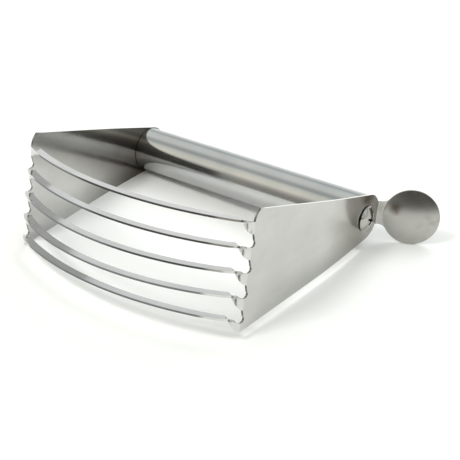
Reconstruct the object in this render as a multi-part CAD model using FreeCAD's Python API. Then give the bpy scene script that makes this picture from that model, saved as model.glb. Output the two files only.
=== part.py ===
"""Pastry blender: a steel tube handle between two side plates, five twisted blades and a thumb rest.

Everything is laid out first in the tool's own frame and then tilted onto the table:
x runs along the handle, y = -u where u is the distance from the handle axis towards the blades,
and z = v, the height above the tool's plane of symmetry.  The tool lies on the straight lower
edge of its left side plate and on the rim of the thumb rest, which reaches a little below that
edge's level and so keeps the right side plate just off the table.
"""
import FreeCAD
import Part
import math
import os

V3 = FreeCAD.Vector

# ---------------------------------------------------------------- driving dimensions (mm, degrees)
HANDLE_LENGTH = 127.6          # between the inner faces of the two side plates
TUBE_RADIUS = 11.0
TUBE_WALL = 1.0
SHEET = 0.9                    # one gauge of sheet for plates, thumb rest and blades
SPARE = 40.0                   # room left around a piece by the blocks that trim it

EDGE_ANGLE = 9.45              # each straight plate edge opens this much from the plane of symmetry
EDGE_OFFSET = 11.3             # distance from the handle axis to each straight plate edge
EAR_BACK = 1.2                 # the rounded ear is centred this far behind the handle axis
LEAN_U = 29.0                  # each plate leans inwards beyond this distance from the axis
PLATE_LEAN = 3.76              # by this angle
LEAN_REACH = 15.0              # the plate curves gently from this far before to this far beyond it
FRONT_CORNER_U = 86.2          # upper front corner of a plate
TOOTH_U = 90.4                 # where a blade leaves its plate, at half height
FRONT_RAKE = 0.055             # the wavy front edge comes forward by this much per mm downwards
SCALLOP_DEPTH = 2.1
SCALLOP_SLANT_RISE = 2.6       # the slant under a tooth ends this far above the next tooth
SCALLOP_SLANT_OUT = 0.5        # and this far in front of the deepest point
SCALLOP_HOOK = 1.2             # radius of the hollow above the next tooth
CORNER_ROUNDING = (0.5, 0.3)   # how far the upper front corner bulges forward and up
ROOT_HEIGHT = 5.2              # of a tooth where its blade leaves the plate
ROOT_TAPER = 5.0               # length over which the root narrows to the blade's width

BLADES = 5
TOOTH_PITCH = 10.9
FIRST_TOOTH_TOP = 20.9         # height of the upper edge of the first tooth
BLADE_WIDTH = 3.8
BLADE_TOP = 21.1               # height of the first blade once it lies flat
BLADE_PITCH = 10.48            # between the flat-lying blades
BLADE_RISE_LENGTH = 4.0        # a blade reaches its own height within this much of its length
BLADE_REACH = (106.8, 110.0, 112.5, 113.4, 110.6)      # middle of each outer edge, from the handle axis
BLADE_RADIUS = (130.0, 119.0, 110.0, 107.0, 130.0)     # of each outer edge between its corner bends
CORNER_RADIUS = 14.0           # of the bend between a tooth and the long arc
CREASE_LENGTH = 3.0            # over which a blade turns from the plate's direction to its own
TWIST_LENGTH = 6.5             # along the blade, from the tooth to the flat-lying section
ROOT_SPACING = 0.7             # between the cross-sections that a twisted root is lofted through

THUMB_NECK_HALF = 5.6          # half width of the thumb rest where it leaves the plate
THUMB_BEND_RADIUS = 1.2        # inside radius of its bend
THUMB_BEND_ANGLE = 64.0
THUMB_DISC_RADIUS = 13.25
THUMB_DISC_REACH = 15.1        # from the end of the bend to the disc's centre
THUMB_FLARE_RADIUS = 4.5       # hollow curve of the neck, on each side
THUMB_DISH_DEPTH = 1.6

PLUG_LENGTH = 14.0
PLUG_CLEARANCE = 0.05
SCREW_RADIUS = 2.45            # M5 class
SCREW_BORE_RADIUS = 2.5
SCREW_HOLE_RADIUS = 2.75
SCREW_REACH = 11.0             # shank length below the head
HEAD_RADIUS = 6.0
HEAD_HEIGHT = 3.0
HEAD_RIM = 0.6
RECESS_WIDTH = 1.1
RECESS_SPAN = 6.0
RECESS_FOOT_SPAN = 2.1         # the slots narrow to this at their bottom
RECESS_DEPTH = 1.9
RECESS_OPENING = 0.2           # the cutting shape rises this far out of the dome
RECESS_TURN = 20.0             # how far each screw happens to be turned, degrees

REST_PASSES = 8                # small turns that settle the tool onto the table

HALF = HANDLE_LENGTH / 2.0
SIN_EDGE = math.sin(math.radians(EDGE_ANGLE))
COS_EDGE = math.cos(math.radians(EDGE_ANGLE))
EAR_RADIUS = EDGE_OFFSET - EAR_BACK * SIN_EDGE
THUMB_BEND_U = -EAR_BACK - math.sqrt(EAR_RADIUS ** 2 - THUMB_NECK_HALF ** 2)


def edge_height(u):
    """Height of the upper straight plate edge above the plane of symmetry."""
    return (EDGE_OFFSET + u * SIN_EDGE) / COS_EDGE


def tooth_top(k):
    return FIRST_TOOTH_TOP - k * TOOTH_PITCH


def tooth_u(k):
    return TOOTH_U - FRONT_RAKE * tooth_top(k)


def root_height(k):
    """Height of a tooth's end; the last tooth stops at the lower edge of the plate."""
    return min(ROOT_HEIGHT, tooth_top(k) + edge_height(tooth_u(k)))


def closed(corners):
    return Part.makePolygon(corners + corners[:1])


# ---------------------------------------------------------------- side plates
def tooth(k):
    """End of tooth k, from its upper to its lower corner."""
    top = V3(0, tooth_u(k), tooth_top(k))
    return Part.makeLine(top, top - V3(0, 0, root_height(k)))


def scallop(k):
    """Wavy edge below tooth k: a slant, a tight hollow and a short hook onto the next tooth."""
    level = tooth_top(k + 1)
    deep_u = tooth_u(k + 1) - SCALLOP_DEPTH
    start = V3(0, tooth_u(k), tooth_top(k) - root_height(k))
    slant = V3(0, deep_u + SCALLOP_SLANT_OUT, level + SCALLOP_SLANT_RISE)
    deepest = V3(0, deep_u, level + SCALLOP_HOOK)
    hook = V3(0, deep_u + SCALLOP_HOOK, level)
    return [
        Part.makeLine(start, slant),
        Part.Arc(slant, deepest, hook).toShape(),
        Part.makeLine(hook, V3(0, tooth_u(k + 1), level)),
    ]


def plate_outline():
    """Closed outline in the (u, v) plane, drawn as (0, u, v)."""
    tangent_u = -EAR_BACK - EAR_RADIUS * SIN_EDGE
    top_tangent = V3(0, tangent_u, EAR_RADIUS * COS_EDGE)
    low_tangent = V3(0, tangent_u, -EAR_RADIUS * COS_EDGE)
    corner = V3(0, FRONT_CORNER_U, edge_height(FRONT_CORNER_U))
    first = V3(0, tooth_u(0), tooth_top(0))
    shoulder = (corner + first) * 0.5 + V3(0, *CORNER_ROUNDING)
    edges = [Part.makeLine(top_tangent, corner), Part.Arc(corner, shoulder, first).toShape()]
    for k in range(BLADES):
        edges.append(tooth(k))
        if k < BLADES - 1:
            edges += scallop(k)
    bottom = V3(0, tooth_u(BLADES - 1), -edge_height(tooth_u(BLADES - 1)))
    edges.append(Part.makeLine(bottom, low_tangent))
    edges.append(Part.Arc(low_tangent, V3(0, -EAR_BACK - EAR_RADIUS, 0), top_tangent).toShape())
    return Part.Wire(edges)


def lean_line(offset, depth, back):
    """One face of the sheet seen along z: straight, a gentle bend, straight; for the +x side."""
    lean = math.radians(PLATE_LEAN)
    corner = V3(HALF + offset, LEAN_U + offset * math.tan(lean / 2.0), 0)
    ahead = V3(-math.sin(lean), math.cos(lean), 0)
    start, end = corner - V3(0, LEAN_REACH, 0), corner + ahead * LEAN_REACH
    sag = 0.5 * LEAN_REACH * math.sin(lean / 2.0)
    middle = (start + end) * 0.5 + V3(sag * math.cos(lean / 2.0), sag * math.sin(lean / 2.0), 0)
    far = corner + ahead * depth
    near = V3(HALF + offset, back, 0)
    return near, far, [
        Part.makeLine(near, start),
        Part.Arc(start, middle, end).toShape(),
        Part.makeLine(end, far),
    ]


def sheet_band(depth):
    """Outline of the sheet seen along z: flat beside the handle, then leaning inwards."""
    inner_near, inner_far, inner = lean_line(0.0, depth, -SPARE)
    outer_near, outer_far, outer = lean_line(SHEET, depth, -SPARE)
    ends = [Part.makeLine(inner_near, outer_near), Part.makeLine(inner_far, outer_far)]
    return Part.Wire(Part.__sortEdges__(inner + outer + ends))


def side_plate(side, has_thumb_rest):
    band = Part.Face(sheet_band(TOOTH_U)).extrude(V3(0, 0, 2 * SPARE))
    band.translate(V3(0, 0, -SPARE))
    outline = Part.Face(plate_outline()).extrude(V3(HANDLE_LENGTH, 0, 0))
    plate = band.common(outline)
    hole = Part.makeCylinder(SCREW_HOLE_RADIUS, 4 * SHEET, V3(HALF - SHEET, 0, 0), V3(1, 0, 0))
    plate = plate.cut(hole)
    if has_thumb_rest:
        corner = V3(HALF - SPARE, THUMB_BEND_U - SPARE, -SPARE)
        past_bend = Part.makeBox(2 * SPARE, SPARE, 2 * SPARE, corner)
        plate = plate.cut(past_bend)
    return to_tool_frame(plate, side)


def to_tool_frame(shape, side):
    """(x, u, v) drawn for the +x side becomes (x, -u, v) on the wanted side."""
    done = shape.mirror(V3(0, 0, 0), V3(0, 1, 0))
    if side < 0:
        done = done.mirror(V3(0, 0, 0), V3(1, 0, 0))
    return done.Solids[0]


# ---------------------------------------------------------------- thumb rest
def flare_centre():
    """Centre of the hollow neck curve: through the corner of the bend and tangent to the disc."""
    near, far = THUMB_FLARE_RADIUS, THUMB_FLARE_RADIUS + THUMB_DISC_RADIUS
    span = math.hypot(THUMB_DISC_REACH, THUMB_NECK_HALF)
    along = (near ** 2 - far ** 2 + span ** 2) / (2 * span)
    across = math.sqrt(near ** 2 - along ** 2)
    toward = (THUMB_DISC_REACH / span, -THUMB_NECK_HALF / span)
    return (
        along * toward[0] - across * toward[1],
        THUMB_NECK_HALF + along * toward[1] + across * toward[0],
    )


def neck():
    """Flat neck between bend and disc: x along the tab, y across it, front face at z = 0."""
    cx, cy = flare_centre()
    share = THUMB_FLARE_RADIUS / (THUMB_FLARE_RADIUS + THUMB_DISC_RADIUS)
    touch = (cx + (THUMB_DISC_REACH - cx) * share, cy * (1 - share))
    waist_angle = 0.5 * (math.atan2(THUMB_NECK_HALF - cy, -cx) + math.atan2(touch[1] - cy, touch[0] - cx))
    waist = (
        cx + THUMB_FLARE_RADIUS * math.cos(waist_angle),
        cy + THUMB_FLARE_RADIUS * math.sin(waist_angle),
    )
    up = [V3(0, THUMB_NECK_HALF, 0), V3(waist[0], waist[1], 0), V3(touch[0], touch[1], 0)]
    low = [V3(p.x, -p.y, 0) for p in up]
    rim = V3(THUMB_DISC_REACH - THUMB_DISC_RADIUS, 0, 0)
    outline = Part.Wire([
        Part.makeLine(low[0], up[0]),
        Part.Arc(up[0], up[1], up[2]).toShape(),
        Part.Arc(up[2], rim, low[2]).toShape(),
        Part.Arc(low[2], low[1], low[0]).toShape(),
    ])
    return Part.Face(outline).extrude(V3(0, 0, -SHEET))


def dished_disc():
    """Round shell, bulging to +z by the dish depth, its rim level with the neck."""
    sphere = (THUMB_DISC_RADIUS ** 2 + THUMB_DISH_DEPTH ** 2) / (2 * THUMB_DISH_DEPTH)
    centre = V3(THUMB_DISC_REACH, 0, THUMB_DISH_DEPTH - sphere)
    pole = V3(0, 1, 0)
    shell = Part.makeSphere(sphere, centre, pole).cut(Part.makeSphere(sphere - SHEET, centre, pole))
    keep = Part.makeCylinder(THUMB_DISC_RADIUS, 6 * SHEET, V3(THUMB_DISC_REACH, 0, -3 * SHEET))
    return shell.common(keep)


def thumb_rest():
    """Bend, neck and dished disc of the +x side."""
    hinge = V3(HALF + SHEET + THUMB_BEND_RADIUS, THUMB_BEND_U, 0)
    corners = [
        V3(HALF, THUMB_BEND_U, -THUMB_NECK_HALF),
        V3(HALF + SHEET, THUMB_BEND_U, -THUMB_NECK_HALF),
        V3(HALF + SHEET, THUMB_BEND_U, THUMB_NECK_HALF),
        V3(HALF, THUMB_BEND_U, THUMB_NECK_HALF),
    ]
    section = Part.Face(closed(corners))
    bend = section.revolve(hinge, V3(0, 0, 1), THUMB_BEND_ANGLE)

    tab = neck().fuse(dished_disc())
    turn = math.radians(THUMB_BEND_ANGLE)
    along = V3(math.sin(turn), -math.cos(turn), 0)
    front = V3(math.cos(turn), math.sin(turn), 0)
    start = hinge - front * THUMB_BEND_RADIUS
    across = front.cross(along)
    place = FreeCAD.Matrix(
        along.x, across.x, front.x, start.x,
        along.y, across.y, front.y, start.y,
        along.z, across.z, front.z, start.z,
        0, 0, 0, 1,
    )
    whole = bend.fuse(tab.transformed(place)).removeSplitter()
    return to_tool_frame(whole, 1)


# ---------------------------------------------------------------- blades
def smooth(q):
    q = min(max(q, 0.0), 1.0)
    return q * q * (3.0 - 2.0 * q)


def tooth_x(u):
    """Middle of the sheet at the end of a tooth, where the plate has leaned inwards."""
    lean = math.radians(PLATE_LEAN)
    return HALF - (u - LEAN_U) * math.tan(lean) + 0.5 * SHEET / math.cos(lean)


class BladeEdge:
    """Outer edge of a blade seen along z: a corner bend from the +x tooth, then a long arc.

    The corner bend runs smoothly into the long arc and meets its tooth at a slight crease.
    """

    def __init__(self, k):
        start_u = tooth_u(k)
        start_x = tooth_x(start_u)
        self.radius = BLADE_RADIUS[k]
        self.centre_u = BLADE_REACH[k] - self.radius
        ahead = start_u - self.centre_u
        span = math.hypot(start_x, ahead)
        reach = self.radius - CORNER_RADIUS
        aside = math.acos((reach ** 2 + span ** 2 - CORNER_RADIUS ** 2) / (2 * reach * span))
        self.sweep = math.atan2(start_x, ahead) - aside
        self.corner_x = reach * math.sin(self.sweep)
        self.corner_u = self.centre_u + reach * math.cos(self.sweep)
        self.crease = math.atan2(start_u - self.corner_u, start_x - self.corner_x)
        self.bend = CORNER_RADIUS * (math.pi / 2 - self.sweep - self.crease)

    def at(self, s):
        """Point (x, u) at the distance s from the tooth, and the angle its normal makes with x."""
        if s < self.bend:
            x, u, radius = self.corner_x, self.corner_u, CORNER_RADIUS
            facing = self.crease + s / radius
        else:
            x, u, radius = 0.0, self.centre_u, self.radius
            facing = math.pi / 2 - self.sweep + (s - self.bend) / radius
        return (x + radius * math.cos(facing), u + radius * math.sin(facing)), facing


def blade_section(edge, k, s):
    """Four corners of the strip, which turns about its outer edge from upright to lying flat."""
    (x, u), facing = edge.at(s)
    facing *= smooth(s / CREASE_LENGTH)
    nx, nu = math.cos(facing), math.sin(facing)
    angle = 0.5 * math.pi * smooth(s / TWIST_LENGTH)
    rise = (BLADE_TOP - k * BLADE_PITCH - tooth_top(k)) * smooth(s / BLADE_RISE_LENGTH)
    outward = V3(nx, -nu, 0)
    up = V3(0, 0, 1)
    width = root_height(k) + (BLADE_WIDTH - root_height(k)) * smooth(s / ROOT_TAPER)
    across = (up * math.cos(angle) + outward * math.sin(angle)) * -width
    half_sheet = (outward * math.cos(angle) - up * math.sin(angle)) * (0.5 * SHEET)
    outer = V3(x, -u, tooth_top(k) + rise)
    return [outer - half_sheet, outer + half_sheet, outer + across + half_sheet, outer + across - half_sheet]


def blade_root(edge, k):
    """Twisted corner bend at the +x end."""
    steps = math.ceil(edge.bend / ROOT_SPACING)
    wires = [closed(blade_section(edge, k, edge.bend * i / steps)) for i in range(steps + 1)]
    return Part.makeLoft(wires, True, True)


def blade(k):
    edge = BladeEdge(k)
    right = blade_root(edge, k)
    left = right.mirror(V3(0, 0, 0), V3(1, 0, 0))
    section = Part.Face(closed(blade_section(edge, k, edge.bend)))
    arc = section.revolve(V3(0, -edge.centre_u, 0), V3(0, 0, -1), math.degrees(2 * edge.sweep))
    return right.fuse([arc, left]).Solids[0]


# ---------------------------------------------------------------- handle and its fastenings
def handle_tube():
    start, axis = V3(-HALF, 0, 0), V3(1, 0, 0)
    outside = Part.makeCylinder(TUBE_RADIUS, HANDLE_LENGTH, start, axis)
    inside = Part.makeCylinder(TUBE_RADIUS - TUBE_WALL, HANDLE_LENGTH, start, axis)
    return outside.cut(inside).Solids[0]


def end_plug(side):
    """Threaded insert pressed into the end of the tube, drawn at the +x end."""
    start = V3(HALF - PLUG_LENGTH, 0, 0)
    plug = Part.makeCylinder(TUBE_RADIUS - TUBE_WALL - PLUG_CLEARANCE, PLUG_LENGTH, start, V3(1, 0, 0))
    bore = Part.makeCylinder(SCREW_BORE_RADIUS, PLUG_LENGTH, start, V3(1, 0, 0))
    return to_tool_frame(plug.cut(bore), side)


def screw_head():
    """Low domed head with a short upright rim; x = 0 is the bearing face."""
    rise = HEAD_HEIGHT - HEAD_RIM
    dome = (HEAD_RADIUS ** 2 + rise ** 2) / (2 * rise)
    flank = 0.5 * math.asin(HEAD_RADIUS / dome)
    crown = V3(HEAD_HEIGHT - dome + dome * math.cos(flank), dome * math.sin(flank), 0)
    edges = [
        Part.makeLine(V3(0, 0, 0), V3(0, HEAD_RADIUS, 0)),
        Part.makeLine(V3(0, HEAD_RADIUS, 0), V3(HEAD_RIM, HEAD_RADIUS, 0)),
        Part.Arc(V3(HEAD_RIM, HEAD_RADIUS, 0), crown, V3(HEAD_HEIGHT, 0, 0)).toShape(),
        Part.makeLine(V3(HEAD_HEIGHT, 0, 0), V3(0, 0, 0)),
    ]
    return Part.Face(Part.Wire(edges)).revolve(V3(0, 0, 0), V3(1, 0, 0), 360)


def cross_recess():
    """Two crossing slots that narrow towards the bottom of the recess."""
    bottom, top = HEAD_HEIGHT - RECESS_DEPTH, HEAD_HEIGHT + RECESS_OPENING
    slots = []
    for turn in (0, 90):
        wires = []
        for x, span in ((bottom, RECESS_FOOT_SPAN), (top, RECESS_SPAN)):
            y, z = 0.5 * span, 0.5 * RECESS_WIDTH
            wires.append(closed([V3(x, -y, -z), V3(x, y, -z), V3(x, y, z), V3(x, -y, z)]))
        slot = Part.makeLoft(wires, True, True)
        slot.rotate(V3(0, 0, 0), V3(1, 0, 0), turn + RECESS_TURN)
        slots.append(slot)
    return slots[0].fuse(slots[1])


def end_screw(side):
    head = screw_head().cut(cross_recess())
    shank = Part.makeCylinder(SCREW_RADIUS, SCREW_REACH, V3(-SCREW_REACH, 0, 0), V3(1, 0, 0))
    screw = head.fuse(shank).removeSplitter()
    screw.translate(V3(HALF + SHEET, 0, 0))
    return to_tool_frame(screw, side)


# ---------------------------------------------------------------- the whole tool, laid on the table
def tool_pieces():
    pieces = {
        "handle_tube": handle_tube(),
        "right_side_plate": side_plate(1, True),
        "left_side_plate": side_plate(-1, False),
        "thumb_rest": thumb_rest(),
        "right_end_plug": end_plug(1),
        "left_end_plug": end_plug(-1),
        "right_end_screw": end_screw(1),
        "left_end_screw": end_screw(-1),
    }
    for k in range(BLADES):
        pieces["blade_%d" % (k + 1)] = blade(k)
    return pieces


def tilt_until_it_rests(thumb, pivot, edge):
    """Turn about the left plate's edge that brings the thumb rest's lowest point to the table."""
    turned = thumb.copy()
    total = 0.0
    for _ in range(REST_PASSES):
        lowest = turned.optimalBoundingBox(False, False).ZMin
        step = math.degrees(math.asin(lowest / (HANDLE_LENGTH + THUMB_DISC_REACH)))
        turned.rotate(pivot, edge, step)
        total += step
    return total


def lay_down(pieces):
    """Lay the tool on its left plate's edge and the thumb rest, its box centred on the origin."""
    for shape in pieces.values():
        shape.rotate(V3(0, 0, 0), V3(1, 0, 0), -EDGE_ANGLE)
        shape.translate(V3(0, 0, EDGE_OFFSET))
    lean_y = -LEAN_U / COS_EDGE - EDGE_OFFSET * math.tan(math.radians(EDGE_ANGLE))
    pivot = V3(-HALF - SHEET, lean_y, 0)
    edge = V3(-math.tan(math.radians(PLATE_LEAN)) * COS_EDGE, 1, 0)
    turn = tilt_until_it_rests(pieces["thumb_rest"], pivot, edge)
    box = FreeCAD.BoundBox()
    for shape in pieces.values():
        shape.rotate(pivot, edge, turn)
        box.add(shape.optimalBoundingBox(False, False))
    for shape in pieces.values():
        shape.translate(V3(-box.Center.x, -box.Center.y, -box.ZMin))


def main():
    os.makedirs("parts", exist_ok=True)
    pieces = tool_pieces()
    lay_down(pieces)
    for name, shape in pieces.items():
        shape.exportStep("parts/%s.step" % name)
        print(name, shape.ShapeType, shape.isValid(), round(shape.Volume, 1))


main()
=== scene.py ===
"""Looks of the steel pastry blender: materials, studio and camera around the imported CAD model."""
import math

import bpy
from mathutils import Matrix, Vector


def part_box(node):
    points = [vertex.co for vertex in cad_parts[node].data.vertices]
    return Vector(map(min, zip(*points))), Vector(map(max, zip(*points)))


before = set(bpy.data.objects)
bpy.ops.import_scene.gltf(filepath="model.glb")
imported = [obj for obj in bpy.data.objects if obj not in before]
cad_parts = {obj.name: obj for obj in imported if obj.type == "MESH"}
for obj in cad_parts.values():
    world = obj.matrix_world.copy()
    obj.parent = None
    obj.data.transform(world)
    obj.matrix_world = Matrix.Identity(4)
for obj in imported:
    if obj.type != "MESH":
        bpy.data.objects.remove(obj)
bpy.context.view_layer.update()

MM = 0.001


# ---------------------------------------------------------------- where the tool lies
PLUG_LENGTH = 14.0 * MM                 # a plug's outer end is flush with the end of the tube


def centre(node):
    low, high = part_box(node)
    return (low + high) * 0.5


def handle_axes():
    """The handle's middle and half length, and the tool's own directions: along it, to the blades, up."""
    right, left = centre("right_end_plug"), centre("left_end_plug")
    middle = (right + left) * 0.5
    half = (right - left).length * 0.5 + PLUG_LENGTH * 0.5
    along = (right - left).normalized()
    front = centre("blade_3") - middle
    front = (front - along * front.dot(along)).normalized()
    return middle, half, along, front, along.cross(-front).normalized()


MIDDLE, HALF_TUBE, ALONG, FRONT, UP = handle_axes()


# ---------------------------------------------------------------- shader helpers
class Tree:
    """Short ways to build a node tree. A value is another node's output, a number or a colour."""

    def __init__(self, owner):
        owner.use_nodes = True
        self.tree = owner.node_tree
        self.tree.nodes.clear()

    def node(self, kind, **settings):
        made = self.tree.nodes.new(kind)
        for key, value in settings.items():
            setattr(made, key, value)
        return made

    def set(self, value, socket):
        if isinstance(value, bpy.types.NodeSocket):
            self.tree.links.new(value, socket)
        elif isinstance(value, tuple):
            socket.default_value = (*value, 1.0)
        else:
            socket.default_value = value

    def maths(self, operation, *values):
        made = self.node("ShaderNodeMath", operation=operation)
        for socket, value in zip(made.inputs, values):
            self.set(value, socket)
        return made.outputs["Value"]

    def absolute(self, value):
        return self.maths("ABSOLUTE", value)

    def times(self, a, b):
        return self.maths("MULTIPLY", a, b)

    def add(self, a, b, weight):
        """The sum of the first value and a share of the second."""
        return self.maths("MULTIPLY_ADD", b, weight, a)

    def with_point(self, operation, a, point):
        made = self.node("ShaderNodeVectorMath", operation=operation)
        self.set(a, made.inputs[0])
        made.inputs[1].default_value = point
        return made

    def dot(self, a, direction):
        return self.with_point("DOT_PRODUCT", a, direction).outputs["Value"]

    def offset(self, a, point):
        return self.with_point("SUBTRACT", a, point).outputs["Vector"]

    def distance(self, a, point):
        return self.with_point("DISTANCE", a, point).outputs["Value"]

    def band(self, value, none, full, outside=0.0, inside=1.0):
        """The outside value at none, the inside value at full, smooth between."""
        made = self.node("ShaderNodeMapRange", interpolation_type="SMOOTHSTEP")
        self.set(value, made.inputs["Value"])
        made.inputs["From Min"].default_value = min(none, full)
        made.inputs["From Max"].default_value = max(none, full)
        made.inputs["To Min"].default_value = outside if none < full else inside
        made.inputs["To Max"].default_value = inside if none < full else outside
        return made.outputs["Result"]

    def ramp(self, factor, stops, interpolation="LINEAR"):
        made = self.node("ShaderNodeValToRGB")
        ramp = made.color_ramp
        ramp.interpolation = interpolation
        while len(ramp.elements) < len(stops):
            ramp.elements.new(0.5)
        for element, (position, colour) in zip(ramp.elements, stops):
            element.position = position
            element.color = (*colour, 1.0)
        self.set(factor, made.inputs["Fac"])
        return made.outputs["Color"]


class Material(Tree):
    """One material around a Principled shader. Textures are laid in the object's own metres."""

    def __init__(self, name):
        self.material = bpy.data.materials.new(name)
        super().__init__(self.material)
        output = self.node("ShaderNodeOutputMaterial")
        self.shader = self.node("ShaderNodeBsdfPrincipled")
        self.set(self.shader.outputs[0], output.inputs["Surface"])

    def place(self):
        return self.node("ShaderNodeTexCoord").outputs["Object"]

    def stretched(self, scale):
        mapping = self.node("ShaderNodeMapping")
        mapping.inputs["Scale"].default_value = scale
        self.set(self.place(), mapping.inputs["Vector"])
        return mapping.outputs["Vector"]

    def facing(self, direction):
        """How squarely the surface faces along or against a direction, from 0 to 1."""
        return self.absolute(self.dot(self.node("ShaderNodeNewGeometry").outputs["Normal"], direction))

    def beyond_middle(self, direction):
        """Distance from the middle of the handle, measured along a direction."""
        return self.dot(self.offset(self.place(), MIDDLE), direction)

    def noise(self, vector, scale, detail=4.0, roughness=0.6):
        made = self.node("ShaderNodeTexNoise")
        made.inputs["Scale"].default_value = scale
        made.inputs["Detail"].default_value = detail
        made.inputs["Roughness"].default_value = roughness
        self.set(vector, made.inputs["Vector"])
        return made.outputs["Fac"]

    def spread(self, factor, low, high):
        """Stretches a noise's usual range over the one wanted."""
        made = self.node("ShaderNodeMapRange")
        made.inputs["From Min"].default_value = 0.3
        made.inputs["From Max"].default_value = 0.7
        made.inputs["To Min"].default_value = low
        made.inputs["To Max"].default_value = high
        self.set(factor, made.inputs["Value"])
        return made.outputs["Result"]

    def mix(self, factor, a, b):
        made = self.node("ShaderNodeMix", data_type="RGBA")
        self.set(factor, made.inputs["Factor"])
        colours = [socket for socket in made.inputs if socket.type == "RGBA"]
        self.set(a, colours[0])
        self.set(b, colours[1])
        return [socket for socket in made.outputs if socket.type == "RGBA"][0]

    def bump(self, height, strength, distance):
        made = self.node("ShaderNodeBump")
        made.inputs["Strength"].default_value = strength
        made.inputs["Distance"].default_value = distance
        self.set(height, made.inputs["Height"])
        self.set(made.outputs["Normal"], self.shader.inputs["Normal"])

    def finish(self, colour, roughness):
        self.set(colour, self.shader.inputs["Base Color"])
        self.set(roughness, self.shader.inputs["Roughness"])


# ---------------------------------------------------------------- steel
CLOUD_SCALE = 45.0                      # cloudy handling marks, per metre
CLOUD_IN_ROUGHNESS = 0.5
MARK_STRETCH = 0.2                      # the longer drawing marks are this much coarser than the grain
MARK_SHARE = 0.3
TONE_SPAN = (0.35, 0.85)                # noise values that give a steel's darker and lighter tone
GRAIN_HEIGHT = 0.02 * MM


def steel(name, dark, light, rough, grain, grain_depth=0.02, extra=None):
    """Bare steel: fine drawn grain and faint cloudy marks, then the piece's own detail."""
    m = Material(name)
    fine = m.noise(m.stretched(grain), 1.0, 6.0, 0.7)
    cloud = m.noise(m.place(), CLOUD_SCALE, 3.0)
    marks = m.noise(m.stretched(tuple(v * MARK_STRETCH for v in grain)), 1.0, 2.0)
    colour = m.ramp(m.add(cloud, marks, MARK_SHARE), list(zip(TONE_SPAN, (dark, light))))
    if extra:
        colour = extra(m, colour)
    m.finish(colour, m.spread(m.add(fine, cloud, CLOUD_IN_ROUGHNESS), *rough))
    m.shader.inputs["Metallic"].default_value = 1.0
    m.bump(fine, grain_depth, GRAIN_HEIGHT)
    return m.material


CUT_EDGE = (0.80, 0.45)                 # how squarely a surface faces its sheet's way, from face to cut edge
# painted shade on the blades' cut edges
BLADE_EDGE_PAINTED_SHADE = (0.17, 0.17, 0.175)
ROOT_START = 46.0 * MM                  # the blades begin to twist this far from the middle
ROOT_FADE = 4.0 * MM


def painted_shade_on_blade_edges(m, colour):
    """Painted shade: the blades' cut edges are painted dark beside their polished faces."""
    edge = m.band(m.facing(UP), *CUT_EDGE)
    between_roots = m.band(m.absolute(m.beyond_middle(ALONG)), ROOT_START + ROOT_FADE, ROOT_START)
    return m.mix(m.times(edge, between_roots), colour, BLADE_EDGE_PAINTED_SHADE)


JOINT_GRIME = (0.13, 0.11, 0.09)
END_GAP = (0.10 * MM, 0.55 * MM)        # from each end of the tube: where the line is dark, and where it ends


def end_joints(m, colour):
    """A thin dark line where the tube butts against each plate."""
    clean = m.band(m.absolute(m.beyond_middle(ALONG)), HALF_TUBE - END_GAP[0], HALF_TUBE - END_GAP[1])
    return m.mix(clean, JOINT_GRIME, colour)


HANDLE_PAINTED_REFLECTION = (0.15, 0.137, 0.12)       # painted dark reflection of the shaded floor and tube, on the left plate
HANDLE_REFLECTION_REACH = (66 * MM, 10 * MM)  # in front of the handle: where it begins and where it is full
EAR_PAINTED_REFLECTION = (0.38, 0.365, 0.34)          # painted dark reflection, on the right plate's ear
EAR_REFLECTION_REACH = (46 * MM, 8 * MM)
PAINTED_REFLECTION_SIDE = (0.2, 0.4)                  # of the tube's half length: parts the left plate from the right
PAINTED_REFLECTION_WANDER = 12 * MM
PAINTED_REFLECTION_CLOUDS = 60.0                      # per metre
# Cut edges of the plates: a painted highlight on the straight ones, painted shade on the wavy front one.
STRAIGHT_EDGE_PAINTED_HIGHLIGHT = (0.90, 0.89, 0.88)
WAVY_EDGE_PAINTED_SHADE = (0.27, 0.265, 0.26)
WAVY_EDGE_REACH = (82.0 * MM, 84.0 * MM)        # the front edge of a plate lies beyond this


def plate_detail(m, colour):
    """Painted highlight on the straight cut edges, painted shade on the wavy edge, and painted dark
    reflections on the plates by the handle and the ear.
    """
    forward = m.beyond_middle(FRONT)
    sideways = m.beyond_middle(ALONG)
    wandering = m.add(forward, m.noise(m.place(), PAINTED_REFLECTION_CLOUDS), PAINTED_REFLECTION_WANDER)
    # painted dark reflections: each plate is darkened near the handle
    for side, painted_reflection, reach in ((-1, HANDLE_PAINTED_REFLECTION, HANDLE_REFLECTION_REACH), (1, EAR_PAINTED_REFLECTION, EAR_REFLECTION_REACH)):
        this_plate = m.band(sideways, *(side * HALF_TUBE * share for share in PAINTED_REFLECTION_SIDE))
        colour = m.mix(m.times(this_plate, m.band(wandering, *reach)), colour, painted_reflection)
    # painted highlight on the straight cut edges, painted shade on the wavy one
    cut_colour = m.mix(m.band(forward, *WAVY_EDGE_REACH), STRAIGHT_EDGE_PAINTED_HIGHLIGHT, WAVY_EDGE_PAINTED_SHADE)
    return m.mix(m.band(m.facing(ALONG), *CUT_EDGE), colour, cut_colour)


HEAD_TOP = 3.9 * MM                     # top of a screw's head beyond the end of the tube
HEAD_DOME = 8.7 * MM                    # radius of its dome
# painted shade in the screw's cross recess
RECESS_PAINTED_SHADE = (0.02, 0.02, 0.02)
RECESS_SHADE_DEPTH = (0.03 * MM, 0.25 * MM)    # below the dome: where it begins and where it is full


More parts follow.
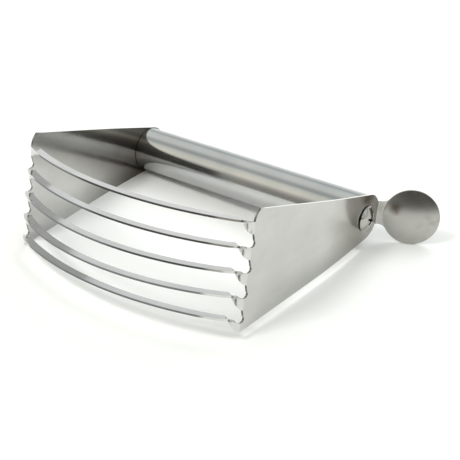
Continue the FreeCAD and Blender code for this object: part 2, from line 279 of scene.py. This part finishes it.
def recess_shade(side):
    """Painted shade in the cross recess: whatever lies below the dome of the screw's head is painted dark."""
    dome_centre = MIDDLE + ALONG * side * (HALF_TUBE + HEAD_TOP - HEAD_DOME)

    def shade(m, colour):
        sunk = m.band(m.distance(m.place(), dome_centre), *(HEAD_DOME - depth for depth in RECESS_SHADE_DEPTH))
        return m.mix(sunk, colour, RECESS_PAINTED_SHADE)

    return shade


NECK_SPOT = centre("thumb_rest") + Vector((-5.4, -2.2, 3.8)) * MM      # centre of a dark brown spot, by the neck
NECK_SPOT_REACH = (7.0 * MM, 2.5 * MM)     # from its centre: where it ends and where it is full
NECK_SPOT_WANDER = 5 * MM
# dark brown of the spot by the neck
NECK_SPOT_BROWN = (0.15, 0.13, 0.11)
DULL_STEEL = (0.30, 0.29, 0.275)
DULL_SPAN = (0.46, 0.72)                # noise values where the dullness begins and is full


def neck_spot_and_clouds(m, colour):
    """Thumb rest: cloudy handling marks and one dark brown spot by the neck."""
    uneven = m.noise(m.place(), 260.0, 3.0)
    spot = m.band(m.add(m.distance(m.place(), NECK_SPOT), uneven, NECK_SPOT_WANDER), *NECK_SPOT_REACH)
    clouds = m.band(m.noise(m.place(), 95.0, 2.0), *DULL_SPAN)
    return m.mix(spot, m.mix(clouds, colour, DULL_STEEL), NECK_SPOT_BROWN)


def screw_steel(name, side):
    return steel(name, (0.36, 0.35, 0.335), (0.50, 0.49, 0.47), (0.05, 0.10), (900, 900, 900),
                 extra=recess_shade(side))


# By a word in the node's name: darker and lighter tone, roughness, and grain per metre in x, y and z.
MATERIALS = {
    "tube": steel("polished_tube_steel", (0.47, 0.48, 0.48), (0.56, 0.56, 0.56), (0.09, 0.14),
                  (30, 1600, 1600), extra=end_joints),
    "plate": steel("satin_sheet_steel", (0.50, 0.495, 0.48), (0.59, 0.585, 0.57), (0.07, 0.12),
                   (1600, 60, 1600), grain_depth=0.05, extra=plate_detail),
    "thumb": steel("pressed_sheet_steel", (0.40, 0.39, 0.375), (0.50, 0.49, 0.47), (0.17, 0.23),
                   (400, 400, 400), grain_depth=0.01, extra=neck_spot_and_clouds),
    "blade": steel("blade_strip_steel", (0.55, 0.545, 0.535), (0.68, 0.675, 0.665), (0.07, 0.13),
                   (50, 1500, 1500), grain_depth=0.04, extra=painted_shade_on_blade_edges),
    "right_end_screw": screw_steel("bright_screw_steel_right", 1),
    "left_end_screw": screw_steel("bright_screw_steel_left", -1),
    "plug": steel("turned_plug_aluminium", (0.62, 0.62, 0.63), (0.74, 0.74, 0.75), (0.2, 0.32),
                  (1500, 200, 200), grain_depth=0.1),
}
EDGE_SOFTNESS = 0.12 * MM
SHARP_EDGE = 40                         # degrees; only edges sharper than this are softened


def dress_cad_nodes():
    for name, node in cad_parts.items():
        word = next(word for word in MATERIALS if word in name)
        node.data.materials.clear()
        node.data.materials.append(MATERIALS[word])
        bevel = node.modifiers.new("softened_edges", "BEVEL")
        bevel.width = EDGE_SOFTNESS
        bevel.segments = 2
        bevel.limit_method = "ANGLE"
        bevel.angle_limit = math.radians(SHARP_EDGE)


dress_cad_nodes()


# ---------------------------------------------------------------- studio
FLOOR_HALF = 6.0                        # m
FLAG_HALF = 2.5
FLAG_FAR = -2.5
FLAG_NEAR = -0.16                       # m; the near edge of a dark cloth that lies in front of the tool
FLAG_HEIGHT = 0.4 * MM


def flat_sheet(name, low, high, height, material):
    """A level rectangle between two corners, given as (x, y)."""
    corners = [(low[0], low[1]), (high[0], low[1]), (high[0], high[1]), (low[0], high[1])]
    mesh = bpy.data.meshes.new(name)
    mesh.from_pydata([(x, y, height) for x, y in corners], [], [(0, 1, 2, 3)])
    mesh.materials.append(material)
    made = bpy.data.objects.new(name, mesh)
    bpy.context.scene.collection.objects.link(made)
    return made


def matte(name, grain, stops, roughness):
    m = Material(name)
    m.finish(m.ramp(m.noise(m.place(), grain), stops), roughness)
    return m


def floor():
    table = matte("pale_table", 3.0, [(0.0, (0.93, 0.93, 0.93)), (1.0, (0.96, 0.96, 0.96))], 0.9)
    table.shader.inputs["Specular IOR Level"].default_value = 0.1
    made = flat_sheet("floor", (-FLOOR_HALF, -FLOOR_HALF), (FLOOR_HALF, FLOOR_HALF), 0, table.material)


def dark_flag():
    """Studio flag: it darkens what the polished steel mirrors low in front, and nothing else."""
    cloth = matte("flag_cloth", 900.0, [(0.3, (0.25, 0.23, 0.21)), (0.7, (0.35, 0.33, 0.30))], 0.95)
    low, high = (-FLAG_HALF, FLAG_FAR), (FLAG_HALF, FLAG_NEAR)
    made = flat_sheet("dark_flag", low, high, FLAG_HEIGHT, cloth.material)
    made.visible_camera = False
    made.visible_diffuse = False
    made.visible_shadow = False


def area_light(name, place, size, power, colour):
    """A soft lamp aimed at the tool, which polished steel doesn't mirror."""
    data = bpy.data.lights.new(name, "AREA")
    data.shape = "RECTANGLE"
    data.size, data.size_y = size
    data.energy = power
    data.color = colour
    lamp = bpy.data.objects.new(name, data)
    lamp.location = place
    lamp.rotation_euler = (-Vector(place)).to_track_quat("-Z", "Y").to_euler()
    lamp.visible_glossy = False
    bpy.context.scene.collection.objects.link(lamp)


# Brightness of the room by angle in degrees, from the front horizon (0) over the top to the back one (180).
ROOM = [
    (0, (0.34, 0.33, 0.30)), (16, (0.40, 0.39, 0.36)), (26, (0.56, 0.55, 0.50)),
    (42, (1.04, 1.00, 0.88)), (60, (0.94, 0.95, 0.85)), (81, (0.50, 0.54, 0.53)),
    (106, (0.92, 0.94, 0.90)), (129, (0.90, 0.95, 0.92)), (149, (0.56, 0.61, 0.61)),
    (165, (0.98, 1.00, 1.00)), (180, (1.04, 1.05, 1.05)),
]
DARK_CORNER = (0.62, -0.74, 0.20)       # direction of the unlit side of the room
DARK_CORNER_TONE = 0.30
DARK_CORNER_SPREAD = (0.78, 0.93)       # cosines: where it begins and where it is full
MATTE_SHARE = 1.14                      # matte surfaces see the room this much brighter than mirrors do
SEEN_BACKDROP = (1.0, 1.0, 1.0)         # what the camera sees beyond the floor


def room_light():
    world = bpy.data.worlds.new("studio")
    bpy.context.scene.world = world
    t = Tree(world)

    direction = t.node("ShaderNodeTexCoord").outputs["Generated"]
    parts = t.node("ShaderNodeSeparateXYZ")
    t.set(direction, parts.inputs[0])
    toward_front = t.times(parts.outputs["Y"], -1.0)
    angle = t.maths("ARCTAN2", parts.outputs["Z"], toward_front)
    stops = [(degrees / 180.0, colour) for degrees, colour in ROOM]
    tone = t.ramp(t.maths("DIVIDE", angle, math.pi), stops, "EASE")
    toward_corner = t.dot(direction, Vector(DARK_CORNER).normalized())
    fade = t.band(toward_corner, *DARK_CORNER_SPREAD, outside=1.0, inside=DARK_CORNER_TONE)

    path = t.node("ShaderNodeLightPath")
    room = t.node("ShaderNodeBackground")
    t.set(tone, room.inputs["Color"])
    share = t.add(1.0, path.outputs["Is Diffuse Ray"], MATTE_SHARE - 1.0)
    t.set(t.times(fade, share), room.inputs["Strength"])
    backdrop = t.node("ShaderNodeBackground")
    t.set(SEEN_BACKDROP, backdrop.inputs["Color"])
    choose = t.node("ShaderNodeMixShader")
    t.set(path.outputs["Is Camera Ray"], choose.inputs[0])
    t.set(room.outputs[0], choose.inputs[1])
    t.set(backdrop.outputs[0], choose.inputs[2])
    t.set(choose.outputs[0], t.node("ShaderNodeOutputWorld").inputs["Surface"])


floor()
room_light()
area_light("key", (-0.28, -0.62, 1.02), (0.30, 0.22), 4.6, (1.0, 0.99, 0.97))
area_light("back", (0.0, 0.80, 0.92), (0.80, 0.50), 3.0, (0.98, 0.99, 1.0))
dark_flag()
bpy.context.scene.view_settings.view_transform = "Standard"


# ---------------------------------------------------------------- camera
AIM = (19.1, -16.0, 25.0)               # mm, the point that the middle of the picture shows
CAMERA_AZIMUTH = 34.57                  # degrees; 0 looks along +Y
CAMERA_ELEVATION = 30.69
CAMERA_ROLL = 2.07
CAMERA_DISTANCE = 453.3                 # mm
LENS = 82.4                             # mm
SENSOR = 36.0                           # mm wide
NEAREST_SEEN = 0.01                     # m


def camera():
    data = bpy.data.cameras.new("camera")
    data.lens = LENS
    data.sensor_width = SENSOR
    data.clip_start = NEAREST_SEEN
    azimuth, elevation = math.radians(CAMERA_AZIMUTH), math.radians(CAMERA_ELEVATION)
    away = Vector((
        math.sin(azimuth) * math.cos(elevation),
        -math.cos(azimuth) * math.cos(elevation),
        math.sin(elevation),
    ))
    made = bpy.data.objects.new("camera", data)
    turn = away.to_track_quat("Z", "Y").to_matrix() @ Matrix.Rotation(math.radians(CAMERA_ROLL), 3, "Z")
    made.matrix_world = Matrix.Translation((Vector(AIM) + away * CAMERA_DISTANCE) * MM) @ turn.to_4x4()
    bpy.context.scene.collection.objects.link(made)
    bpy.context.scene.camera = made


camera()
